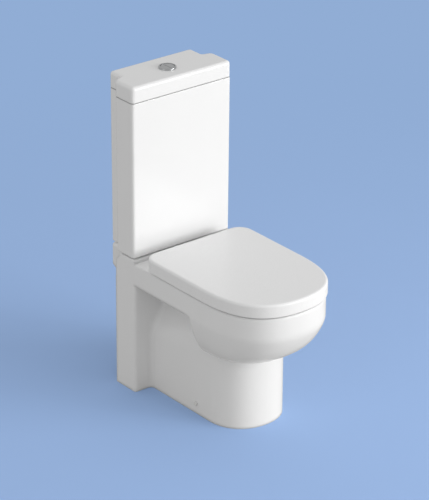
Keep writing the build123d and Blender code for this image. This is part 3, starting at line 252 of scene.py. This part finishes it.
class ToiletLook(bpy.types.PropertyGroup):
    """Colours and surface qualities."""

    china: FloatVectorProperty(name="China", description="Colour of the glazed china", subtype="COLOR",
                               default=(0.882, 0.882, 0.882))
    clay: FloatVectorProperty(name="Clay", description="Colour of the bare fired clay", subtype="COLOR",
                              default=(0.80, 0.78, 0.74))
    china_roughness: FloatProperty(name="China roughness", description="Roughness of the glaze", default=0.16)
    pan_round: FloatProperty(name="Pan edge radius", description="Softness of the pan's edges, in mm",
                             default=14.0)
    cistern_round: FloatProperty(name="Cistern edge radius", default=5.0,
                                 description="Softness of the cistern's edges, in mm")
    # Half width of the painted shade band in the joint under the cistern lid, in mm.
    joint_width: FloatProperty(name="Joint width", default=2.4,
                               description="Half width of the painted shade in the joint under the lid, in mm")
    glaze_wave: FloatProperty(name="Glaze wave", description="Height of the glaze's slow waves, in mm",
                              default=0.5)
    seat: FloatVectorProperty(name="Seat", description="Colour of the seat and its lid", subtype="COLOR",
                              default=(0.90, 0.90, 0.90))
    seat_roughness: FloatProperty(name="Seat roughness", description="Roughness of the seat", default=0.28)
    chrome: FloatVectorProperty(name="Chrome", description="Colour of the chromed parts", subtype="COLOR",
                                default=(0.50, 0.51, 0.52))
    steel: FloatVectorProperty(name="Steel", description="Colour of the plain steel parts", subtype="COLOR",
                               default=(0.56, 0.56, 0.57))
    rubber: FloatVectorProperty(name="Rubber", description="Colour of the rubber parts", subtype="COLOR",
                                default=(0.03, 0.03, 0.032))
    white_plastic: FloatVectorProperty(name="White plastic", subtype="COLOR", default=(0.82, 0.82, 0.81),
                                       description="Colour of the valve bodies and nuts")
    grey_plastic: FloatVectorProperty(name="Grey plastic", description="Colour of the valve's moving parts",
                                      subtype="COLOR", default=(0.30, 0.36, 0.43))


class ToiletStudio(bpy.types.PropertyGroup):
    """Lights, floor and camera."""

    camera_turn: FloatProperty(name="Camera turn", description="Angle about the object from its front",
                               subtype="ANGLE", default=math.radians(-38.7))
    camera_rise: FloatProperty(name="Camera rise", description="Angle above the floor", subtype="ANGLE",
                               default=math.radians(25.03))
    camera_roll: FloatProperty(name="Camera roll", description="Tilt of the picture", subtype="ANGLE",
                               default=math.radians(0.37))
    camera_distance: FloatProperty(name="Camera distance", description="From the target", unit="LENGTH",
                                   default=8.0482)
    camera_target: FloatVectorProperty(name="Camera target", description="Point at the picture's centre",
                                       subtype="XYZ", default=(0.00551, 0.0526, 0.46))
    camera_lens: FloatProperty(name="Lens", description="Focal length in mm", default=201.6)
    floor_half: FloatProperty(name="Floor reach", description="Half the floor's side", unit="LENGTH",
                              default=20.0)
    floor: FloatVectorProperty(name="Floor", description="Colour of the floor to the camera", subtype="COLOR",
                               default=(0.402, 0.582, 0.93))
    backdrop: FloatVectorProperty(name="Backdrop", description="Colour that the floor fades into",
                                  subtype="COLOR", default=(0.283, 0.418, 0.665))
    fade_start: FloatProperty(name="Fade start", description="Where the floor starts to fade", unit="LENGTH",
                              default=0.9)
    fade_end: FloatProperty(name="Fade end", description="Where the floor has faded", unit="LENGTH",
                            default=2.6)
    floor_bounce: FloatVectorProperty(name="Floor bounce", description="Colour of the floor to the light",
                                      subtype="COLOR", default=(0.51, 0.51, 0.51))
    sky: FloatVectorProperty(name="Surroundings", description="Colour of the soft surrounding light",
                             subtype="COLOR", default=(0.98, 0.98, 0.98))
    sky_strength: FloatProperty(name="Surrounding light", default=0.605,
                                description="Strength of the soft surrounding light")
    light_size: FloatProperty(name="Light size", description="Side of each square light", unit="LENGTH",
                              default=3.3)
    key_place: FloatVectorProperty(name="Key place", description="Centre of the key light", subtype="XYZ",
                                   default=(4.8, -5.4, 1.2))
    front_place: FloatVectorProperty(name="Front place", description="Centre of the front light",
                                     subtype="XYZ", default=(2.6, -6.4, 2.6))
    fill_place: FloatVectorProperty(name="Fill place", description="Centre of the fill light", subtype="XYZ",
                                    default=(-6.0, -0.4, 2.2))
    key_power: FloatProperty(name="Key light", description="Power of the low light from the front right",
                             default=275.0)
    front_power: FloatProperty(name="Front light", description="Power of the higher light in front",
                               default=138.0)
    fill_power: FloatProperty(name="Fill light", description="Power of the soft light from the left",
                              default=20.0)


class TOILET_OT_china(bpy.types.Operator):
    """Glazes the pan, the cistern and its lid"""

    bl_idname = "toilet.china"
    bl_label = "China"

    def execute(self, context):
        look = context.scene.toilet_look
        dress(PAN_NODES, glazed_china("pan_glaze", look, look.pan_round))
        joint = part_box("cistern_body")[1][2]
        dress(CISTERN_NODES, glazed_china("cistern_glaze", look, look.cistern_round, joint))
        return {"FINISHED"}


class TOILET_OT_seat(bpy.types.Operator):
    """Finishes the seat ring and its lid"""

    bl_idname = "toilet.seat"
    bl_label = "Seat"

    def execute(self, context):
        dress(SEAT_NODES, seat_plastic(context.scene.toilet_look))
        return {"FINISHED"}


class TOILET_OT_chrome(bpy.types.Operator):
    """Plates the flush buttons, their ring and the hinge posts"""

    bl_idname = "toilet.chrome"
    bl_label = "Chrome"

    def execute(self, context):
        dress(CHROME_NODES, polished_chrome(context.scene.toilet_look))
        return {"FINISHED"}


class TOILET_OT_fittings(bpy.types.Operator):
    """Finishes the valves, bolts, nuts, seals and brackets"""

    bl_idname = "toilet.fittings"
    bl_label = "Fittings"

    def execute(self, context):
        look = context.scene.toilet_look
        dress(STEEL_NODES, turned_steel(look))
        dress(RUBBER_NODES, soft_rubber(look))
        dress(WHITE_PLASTIC_NODES, moulded_plastic("white_plastic", look.white_plastic, 0.42))
        dress(GREY_PLASTIC_NODES, moulded_plastic("grey_plastic", look.grey_plastic, 0.38))
        return {"FINISHED"}


def area_light(name, place, size, power):
    """Large soft light that looks at the middle of the object."""
    lamp = bpy.data.lights.new(name, "AREA")
    lamp.size = size
    lamp.energy = power
    holder = bpy.data.objects.new(name, lamp)
    holder.location = place
    holder.visible_camera = False
    holder.rotation_euler = (LIGHT_AIM - Vector(place)).to_track_quat("-Z", "Y").to_euler()
    bpy.context.scene.collection.objects.link(holder)


def floor_material(studio):
    """Plain pale floor, faintly mottled, which the camera sees fade into the backdrop."""
    finish = Finish("studio_floor")
    cloud = finish.clamp(finish.noise(2.0, 2.0), 0.3, 0.7)
    shown = finish.blend(cloud, rgba(studio.floor, 0.99), rgba(studio.floor))
    seen = finish.add("ShaderNodeLightPath", out="Is Camera Ray")
    colour = finish.blend(seen, rgba(studio.floor_bounce), shown)
    rough = 0.8 + finish.noise(5.0) * 0.05
    lit = finish.add("ShaderNodeBsdfPrincipled", {},
                     {"Base Color": colour, "Roughness": rough, "Specular IOR Level": 0.0})
    plain = finish.add("ShaderNodeEmission", {}, {"Color": rgba(studio.backdrop)})
    reach = finish.add("ShaderNodeVectorMath", {"operation": "LENGTH"}, {0: finish.place()}, out="Value")
    return finish.mixed(finish.clamp(reach, studio.fade_start, studio.fade_end) * seen, lit, plain)


def studio_world(studio):
    """Soft even surroundings, which the camera sees as the plain backdrop."""
    finish = Finish("studio_world", "worlds", "ShaderNodeOutputWorld")
    sky = finish.add("ShaderNodeBackground", {}, {"Color": rgba(studio.sky), "Strength": studio.sky_strength})
    plain = finish.add("ShaderNodeBackground", {}, {"Color": rgba(studio.backdrop)})
    return finish.mixed(finish.add("ShaderNodeLightPath", out="Is Camera Ray"), sky, plain)


class TOILET_OT_studio(bpy.types.Operator):
    """Lays the floor and sets the lights and the camera"""

    bl_idname = "toilet.studio"
    bl_label = "Studio"

    def execute(self, context):
        scene = context.scene
        studio = scene.toilet_studio
        mesh = bpy.data.meshes.new("studio_floor")
        half = studio.floor_half
        corners = [(-half, -half, 0), (half, -half, 0), (half, half, 0), (-half, half, 0)]
        mesh.from_pydata(corners, [], [(0, 1, 2, 3)])
        mesh.materials.append(floor_material(studio))
        floor = bpy.data.objects.new("studio_floor", mesh)
        scene.collection.objects.link(floor)

        scene.world = studio_world(studio)
        area_light("key_light", studio.key_place, studio.light_size, studio.key_power)
        area_light("front_light", studio.front_place, studio.light_size, studio.front_power)
        area_light("fill_light", studio.fill_place, studio.light_size, studio.fill_power)

        camera_data = bpy.data.cameras.new("camera")
        camera_data.sensor_width = 36.0
        camera_data.lens = studio.camera_lens
        camera_data.clip_end = CAMERA_REACH
        camera = bpy.data.objects.new("camera", camera_data)
        turn, rise = studio.camera_turn, studio.camera_rise
        back = Vector((math.sin(turn) * math.cos(rise), -math.cos(turn) * math.cos(rise), math.sin(rise)))
        camera.location = Vector(studio.camera_target) + back * studio.camera_distance
        aim = (-back).to_track_quat("-Z", "Y")
        roll = Euler((0, 0, studio.camera_roll)).to_quaternion()
        camera.rotation_euler = (aim @ roll).to_euler()
        scene.collection.objects.link(camera)
        scene.camera = camera
        scene.view_settings.view_transform = "Standard"
        return {"FINISHED"}


OPERATORS = (TOILET_OT_china, TOILET_OT_seat, TOILET_OT_chrome, TOILET_OT_fittings, TOILET_OT_studio)


class TOILET_PT_panel(bpy.types.Panel):
    """Lists the steps that dress the toilet"""

    bl_idname = "TOILET_PT_panel"
    bl_label = "Toilet"
    bl_space_type = "VIEW_3D"
    bl_region_type = "UI"
    bl_category = "Toilet"

    def draw(self, context):
        for operator in OPERATORS:
            self.layout.operator(operator.bl_idname)
        for group in (context.scene.toilet_look, context.scene.toilet_studio):
            for name in group.__annotations__:
                self.layout.prop(group, name)


CLASSES = (ToiletLook, ToiletStudio, *OPERATORS, TOILET_PT_panel)


def register():
    for item in CLASSES:
        bpy.utils.register_class(item)
    bpy.types.Scene.toilet_look = PointerProperty(type=ToiletLook)
    bpy.types.Scene.toilet_studio = PointerProperty(type=ToiletStudio)


def unregister():
    del bpy.types.Scene.toilet_studio
    del bpy.types.Scene.toilet_look
    for item in reversed(CLASSES):
        bpy.utils.unregister_class(item)


def main():
    """Runs every step in order."""
    register()
    bpy.ops.toilet.china()
    bpy.ops.toilet.seat()
    bpy.ops.toilet.chrome()
    bpy.ops.toilet.fittings()
    bpy.ops.toilet.studio()


if __name__ == "__main__":
    main()
